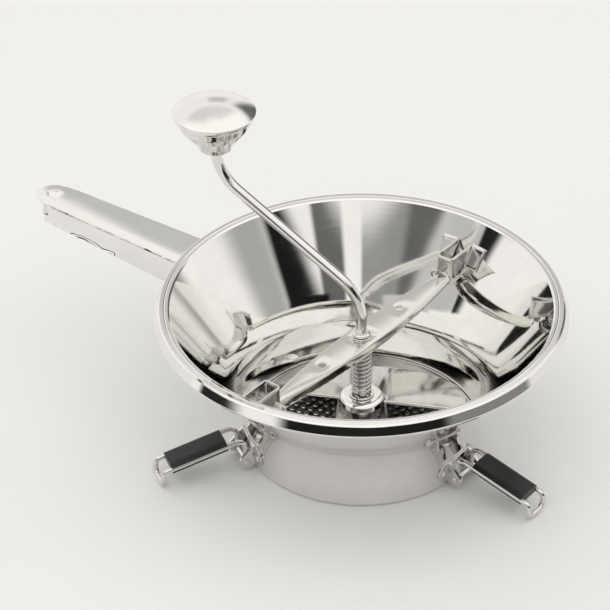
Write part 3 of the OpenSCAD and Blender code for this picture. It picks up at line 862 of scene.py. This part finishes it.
def make_paddle():
    """Half-round sheet, tilted so that it drives food down, with a straight raised front edge."""
    azimuth = math.radians(-22)
    blade_r, blade_z, eye_r, t = 62.0, 24.2, 14.0, 1.5
    tilt = Matrix.Rotation(math.radians(-9.2), 3, "Y") @ Matrix.Rotation(math.radians(-17.7), 3, "X")
    up = tilt @ Vector((0, 0, 1))
    lowest = DISC_Z + DISC_GAP + t / up.z

    def height(x, y):
        edge = blade_r - math.hypot(x, y)
        roll = 0.5 * max(0.0, 1 - edge / 1.2) ** 2 + 0.4 * max(0.0, 1 - y / 1.2) ** 2
        return max(lowest, blade_z - (up.x * x + up.y * y) / up.z - roll * 0.5)

    def outline(inset):
        r, y0 = blade_r - inset, inset
        a0 = math.asin(y0 / r)
        rim = [(r * math.cos(a), r * math.sin(a))
               for a in [a0 + (math.pi - 2 * a0) * k / 72 for k in range(73)]]
        e = eye_r + inset
        b0 = math.asin(min(0.99, y0 / e))
        eye = [(e * math.cos(b), e * math.sin(b))
               for b in [math.pi - b0 - (math.pi - 2 * b0) * k / 24 for k in range(25)]]
        left = [(-r * math.cos(a0) + (r * math.cos(a0) - e * math.cos(b0)) * k / 8, y0) for k in range(1, 8)]
        right = [(-x, y) for x, y in reversed(left)]
        return [*rim, *left, *eye, *right]

    points, faces = plan_skin([outline(d) for d in (0, 0.3, 0.8, 1.6)], [], height)
    mesh = thickened(mesh_from("paddle_pressed", points, faces), t, 0.4)
    add_object("paddle_pressed", mesh, "crank", PADDLE_STEEL, ["paddle"], azimuth)
    refinish("hub_pin", ROD_STEEL)


# ---- Knob ----

def make_knob():
    """Domed cap with a turned-in lip, flared cup, bearing and the ring that keeps the knob on."""
    low, high = box_mm("knob_cap")
    knob_r = (high.x - low.x) / 2
    rise = 7.6
    wide_z = high.z - rise
    big = (knob_r ** 2 + rise ** 2) / (2 * rise)
    slope = math.asin(knob_r / big)
    arc = []
    for k in range(25):
        a = slope * k / 24 * 0.965
        arc.append((Vector((big * math.sin(a), high.z - big * (1 - math.cos(a)))),
                    Vector((math.sin(a), math.cos(a)))))
    edge = [arc[-1][0].to_tuple() + (0.6,), (knob_r, wide_z, 1.0), (knob_r - 0.3, wide_z - 1.6, 0.8),
            (knob_r - 1.3, low.z, 0.6), (knob_r - 6, low.z, 0.3), (knob_r - 6, low.z + 1, 0.2)]
    middle = Vector((knob_r - 3, wide_z - 1))
    lip = [(p, -n if n.dot(p - middle) < 0 else n) for p, n in rounded(edge, 6)]
    under = Vector((0, low.z + 1.2))
    profile = [*arc[:-1], *lip[7:], (under, Vector((0, -1)))]
    mesh = dome("knob_cap_spun", profile, 160, KNOB_CENTRE)
    add_object("knob_cap_spun", mesh, "knob", KNOB_STEEL, ["knob_cap"])

    low, high = box_mm("knob_cup")
    base_r = 9.4
    flare = [(base_r, low.z, 0.9), (11.4, 178, 6), (14.3, 181.8, 9), (17.4, 185.4, 9), (20.6, 190, 9),
             (22.4, high.z, 0.3)]
    inner = [(r - 1.1, z + 0.4, s) for r, z, s in reversed(flare[1:-1])]
    corners = [(ROD_R + 1, low.z, 0.4), *flare, (21.2, high.z, 0.3), *inner,
               (base_r - 1.2, low.z + SHEET, 0.5), (ROD_R + 1, low.z + SHEET, 0.4)]
    mesh = lathe("knob_cup_spun", rounded(corners, 6), 128, KNOB_CENTRE)
    add_object("knob_cup_spun", mesh, "knob", CUP_STEEL, ["knob_cup"])

    low, high = box_mm("knob_bush")
    mesh = ring(ROD_R + RUNNING_GAP, (high.x - low.x) / 2, low.z, high.z, 0.4, 64, KNOB_CENTRE)
    add_object("knob_bush_moulded", mesh, "knob", BUSH_PLASTIC, ["knob_bush"])
    low, high = box_mm("knob_retainer")
    mesh = ring(ROD_R - 0.02, (high.x - low.x) / 2, low.z, high.z, 0.25, 64, KNOB_CENTRE)
    add_object("knob_retainer_pressed", mesh, "crank", WIRE_STEEL, ["knob_retainer"])


# ---- Supports ----

EAR_Y, EAR_T, EAR_R = 8.6, 1.5, 4.8
BASE_T, BASE_LOW, BASE_HIGH, BASE_END = 1.3, 3.0, 16.5, 10.2
RIVET_Y, RIVET_Z = 13.2, 9.8
HINGE_PIN_R = 1.5


def make_bracket(index, azimuth):
    """Plate wrapped on the drum with two teardrop ears."""
    radius = (BASE_HIGH - BASE_LOW) / 2
    middle_z = (BASE_LOW + BASE_HIGH) / 2

    def outline(inset):
        r = radius - inset
        right = [(BASE_END + r * math.cos(a), middle_z + r * math.sin(a))
                 for a in [-math.pi / 2 + math.pi * k / 16 for k in range(17)]]
        top = [(y, middle_z + r) for y in (7, 3.5, 0, -3.5, -7)]
        left = [(-y, 2 * middle_z - z) for y, z in right]
        return [*right, *top, *left, *[(-y, 2 * middle_z - z) for y, z in top]]

    points, faces = plan_skin([outline(d) for d in (0, 0.3, 1.2, 3.0, 5.0)], [], lambda y, z: 0.0)
    outer = DRUM_R + BASE_T
    wrapped = [(outer * math.cos(y / DRUM_R), outer * math.sin(y / DRUM_R), z) for y, z, _ in points]
    flat = mesh_from("base", wrapped, faces)
    if flat.polygons[0].normal.x < 0:
        flat.flip_normals()
    base = thickened(flat, BASE_T - 0.05, 0.3)

    inner_x, outer_x = DRUM_R + 0.6, 72.6
    reach = math.hypot(outer_x - PIVOT_X, BASE_HIGH - PIVOT_Z)
    start = math.atan2(BASE_HIGH - PIVOT_Z, outer_x - PIVOT_X) - math.acos(EAR_R / reach)
    end = -math.pi * 0.86
    ear = [(inner_x, BASE_LOW), (inner_x, BASE_HIGH), (outer_x, BASE_HIGH)]
    ear += [(PIVOT_X + EAR_R * math.cos(a), PIVOT_Z + EAR_R * math.sin(a))
            for a in [start + (end - start) * k / 28 for k in range(29)]]
    meshes = [base]
    for y in (-EAR_Y - EAR_T, EAR_Y):
        plate = prism("ear", ear, EAR_T)
        plate.transform(Matrix.Translation((0, y + EAR_T, 0)) @ Matrix.Rotation(math.pi / 2, 4, "X"))
        meshes.append(plate)
    mesh = joined(f"hinge_bracket_{index}_pressed", meshes)
    add_object(f"hinge_bracket_{index}_pressed", mesh, "root", CLIP_STEEL,
               [f"hinge_bracket_{index}"], azimuth)


def make_rivets():
    """Domed rivet heads on the bracket plates."""
    profile = [(0.0, -0.2), (2.15, -0.2), (2.15, 0.15)]
    profile += [(2.1 * math.cos(a), 0.15 + 0.95 * math.sin(a))
                for a in [math.pi / 2 * k / 8 for k in range(1, 8)]]
    profile.append((0.0, 1.1))
    outline = []
    for r, z in profile:
        normal = Vector((r / 2.1, max(0.0, z) / 0.95)) if z > -0.1 else Vector((0, -1))
        outline.append((Vector((r, z)), normal.normalized() if normal.length else Vector((0, 1))))
    meshes = []
    for _, azimuth, _ in SUPPORT_PLACES:
        for side in (-1, 1):
            one = dome("rivet", outline, 32)
            turn = azimuth + side * math.asin(RIVET_Y / DRUM_R)
            one.transform(
                Matrix.Rotation(turn, 4, "Z") @ Matrix.Translation((DRUM_R + BASE_T, 0, RIVET_Z))
                @ Matrix.Rotation(math.pi / 2, 4, "Y")
            )
            meshes.append(one)
    add_object("bracket_rivets_domed", joined("bracket_rivets_domed", meshes), "root",
               WIRE_STEEL, ["bracket_rivets"])


def make_hinge_pin(index, azimuth):
    """Hinge pin with a domed head outside each ear."""
    end = EAR_Y + EAR_T
    head_r = 2.15
    head = [(head_r, end + 0.05), (head_r, end + 0.3)]
    head += [(head_r * math.cos(a), end + 0.3 + 0.8 * math.sin(a))
             for a in [math.pi / 16 * k for k in range(1, 8)]]
    half = [(HINGE_PIN_R, 0.0), (HINGE_PIN_R, end), *head]
    profile = [(0.0, end + 1.1), *reversed(half[1:])] + [(r, -z) for r, z in half[1:]] + [(0.0, -end - 1.1)]
    outline = []
    for i, (r, z) in enumerate(profile):
        before, after = profile[max(0, i - 1)], profile[min(len(profile) - 1, i + 1)]
        way = Vector((after[0] - before[0], after[1] - before[1]))
        outline.append((Vector((r, z)), Vector((-way.y, way.x)).normalized()))
    mesh = dome("hinge_pin", outline, 40)
    mesh.transform(Matrix.Translation((PIVOT_X, 0, PIVOT_Z)) @ Matrix.Rotation(math.pi / 2, 4, "X"))
    add_object(f"hinge_pin_{index}_headed", mesh, "root", WIRE_STEEL,
               [f"hinge_pin_{index}"], azimuth)


WIRE_R, LEG_Y, LEG_TOP, FOOT_X, FOOT_Z = 1.6, 7.0, 21.0, 126.5, 2.3
LEG_SLOPE = math.radians(11.5)


def make_support_wire(index, azimuth):
    """Bent wire: two eyes on the pin, two legs and a U-shaped foot."""
    corner_z = LEG_TOP - (FOOT_X - PIVOT_X) * math.tan(LEG_SLOPE)
    eye_r = 3.5
    side = [(PIVOT_X, PIVOT_Z + eye_r - 0.5), (PIVOT_X, LEG_TOP), (FOOT_X, corner_z), (FOOT_X, FOOT_Z)]
    corners = [(x, -LEG_Y, z) for x, z in side] + [(x, LEG_Y, z) for x, z in reversed(side)]
    wire = tube("wire", bent(corners, [5, 4, 4, 4, 4, 5]), WIRE_R, 28)
    meshes = [wire]
    for y in (-LEG_Y, LEG_Y):
        eye = ring(HINGE_PIN_R + RUNNING_GAP, eye_r, -0.8, 0.8, 0.45, 40)
        eye.transform(Matrix.Translation((PIVOT_X, y, PIVOT_Z)) @ Matrix.Rotation(math.pi / 2, 4, "X"))
        meshes.append(eye)
    mesh = joined(f"support_wire_{index}_bent", meshes)
    add_object(f"support_wire_{index}_bent", mesh, f"support_{index}", WIRE_STEEL,
               [f"support_wire_{index}"], azimuth)


def make_support_pad(index, azimuth):
    """Black pad: a flat top with chamfers, a groove along each side for a leg, and a thin lower lip."""
    length = 35.0
    along = (FOOT_X - 5.5 - PIVOT_X) / math.cos(LEG_SLOPE) - length
    half = [(4.8, 3.6), (8.2, 1.5), (8.2, 0.9)]
    half += [(LEG_Y + 1.62 * math.cos(a), 1.62 * math.sin(a))
             for a in [math.radians(90 + 180 * k / 8) for k in range(1, 8)]]
    half += [(7.8, -1.7), (7.8, -2.4), (6.8, -3.4)]
    outline = [*half, *[(-x, y) for x, y in reversed(half)]]
    mesh = prism("pad", outline, length, 0.35)
    place = (
        Matrix.Translation((PIVOT_X, 0, LEG_TOP)) @ Matrix.Rotation(LEG_SLOPE, 4, "Y")
        @ Matrix.Translation((along, 0, 0)) @ Matrix.Rotation(math.pi / 2, 4, "Z")
        @ Matrix.Rotation(math.pi / 2, 4, "X")
    )
    mesh.transform(place)
    add_object(f"support_pad_{index}_moulded", mesh, f"support_{index}", PAD_RUBBER,
               [f"support_pad_{index}"], azimuth)


make_bowl()
make_sieve_burrs()
make_handle()
make_strap()
make_clip("strap_clip_front", STRAP_AZ + math.pi)
make_clip("strap_clip_back", STRAP_AZ)
make_shaft_rings()
make_spring()
make_crank_rod()
make_hub()
make_paddle()
make_knob()
make_rivets()
for number, (_, direction, _) in enumerate(SUPPORT_PLACES, 1):
    make_bracket(number, direction)
    make_hinge_pin(number, direction)
    make_support_wire(number, direction)
    make_support_pad(number, direction)


# ---- Studio ----

def make_floor():
    """Plain pale floor."""
    size = 3.0
    mesh = bpy.data.meshes.new("floor")
    corners = [(-size, -size, 0), (size, -size, 0), (size, size, 0), (-size, size, 0)]
    mesh.from_pydata(corners, [], [(0, 1, 2, 3)])
    graph = Graph("floor_paper")
    tone = graph.noise(graph.coordinates, 3.0, 2.0)
    graph.set(Base_Color=graph.tint(tone, (0.95, 0.95, 0.95), (0.97, 0.97, 0.97)), Roughness=0.8)
    mesh.materials.append(graph.material)
    floor = bpy.data.objects.new("floor", mesh)
    floor.location.z = -0.0003
    bpy.context.scene.collection.objects.link(floor)


class Sky(Graph):
    """The studio around the mill: a bright room with soft-edged panels, placed by direction in degrees."""

    def __init__(self, name):
        world = bpy.data.worlds.new(name)
        world.use_nodes = True
        bpy.context.scene.world = world
        self.tree = world.node_tree
        self.shader = self.tree.nodes["Background"]
        direction = self.node("ShaderNodeTexCoord").outputs["Generated"]
        x, y, z = self.node("ShaderNodeSeparateXYZ", {0: direction}).outputs
        self.azimuth = self.maths("DEGREES", self.maths("ARCTAN2", y, x))
        self.elevation = self.maths("DEGREES", self.maths("ARCSINE", z))
        self.level = 1.0

    def inside(self, value, half, soft):
        """1 where the value is within half of 0, falling to 0 over a soft edge."""
        inputs = {"Value": self.maths("ABSOLUTE", value), "From Min": half - soft / 2,
                  "From Max": half + soft / 2, "To Min": 1.0, "To Max": 0.0}
        return self.node("ShaderNodeMapRange", inputs, interpolation_type="SMOOTHSTEP").outputs[0]

    def panel(self, level, azimuths, elevations, soft_az, soft_el):
        """Sets the brightness over a range of azimuths and of elevations."""
        aside = self.maths("SUBTRACT", self.azimuth, sum(azimuths) / 2)
        aside = self.node("ShaderNodeMath", {0: aside, 1: 180.0, 2: -180.0}, operation="WRAP").outputs[0]
        above = self.maths("SUBTRACT", self.elevation, sum(elevations) / 2)
        mask = self.maths("MULTIPLY", self.inside(aside, (azimuths[1] - azimuths[0]) / 2, soft_az),
                          self.inside(above, (elevations[1] - elevations[0]) / 2, soft_el))
        self.level = self.node("ShaderNodeMix", {"Factor": mask, "A": self.level, "B": level}).outputs[0]

    def finish(self):
        self.tree.links.new(self.level, self.shader.inputs["Strength"])
        self.shader.inputs["Color"].default_value = (1.0, 0.985, 0.955, 1)


# Each panel: brightness, range of azimuths, range of elevations, softness of its sides, and of its top
# and bottom, in degrees. Azimuth 0 is to the right and -90 towards the camera; a later panel covers an
# earlier one.
PANELS = [
    (1.15, (-200, 200), (40, 120), 1.0, 8.0),
    (0.8, (60, 150), (44, 74), 20.0, 14.0),
    (0.58, (-175, -144), (20, 31), 8.0, 4.0),
    (0.32, (-143, -90), (16, 34.3), 3.0, 1.5),
    (0.14, (-143, -120), (28, 34), 8.0, 2.0),
    (0.62, (-148, -108), (14, 29.8), 6.0, 1.5),
    (0.45, (-30, -2), (8, 32), 18.0, 4.0),
    (0.15, (-77, -58), (16, 34.3), 4.0, 1.5),
    (0.012, (-63, -28), (2, 30.5), 5.0, 2.0),
    (0.015, (-131, -42), (2, 16), 10.0, 3.0),
    (0.25, (-46, 4), (-2, 12), 8.0, 3.0),
    (0.015, (169, 192), (19, 33), 2.0, 2.0),
    (0.02, (-178, -150), (-3, 6), 4.0, 3.0),
    (0.14, (36, 72), (-2, 36), 12.0, 10.0),
    (0.6, (82, 98), (20, 36), 4.0, 3.0),
]


def make_world():
    """Bright studio with dark and grey panels, which the steel shows as bands."""
    sky = Sky("studio")
    for panel in PANELS:
        sky.panel(*panel)
    sky.finish()


make_floor()
make_world()
bpy.context.scene.view_settings.view_transform = "Standard"
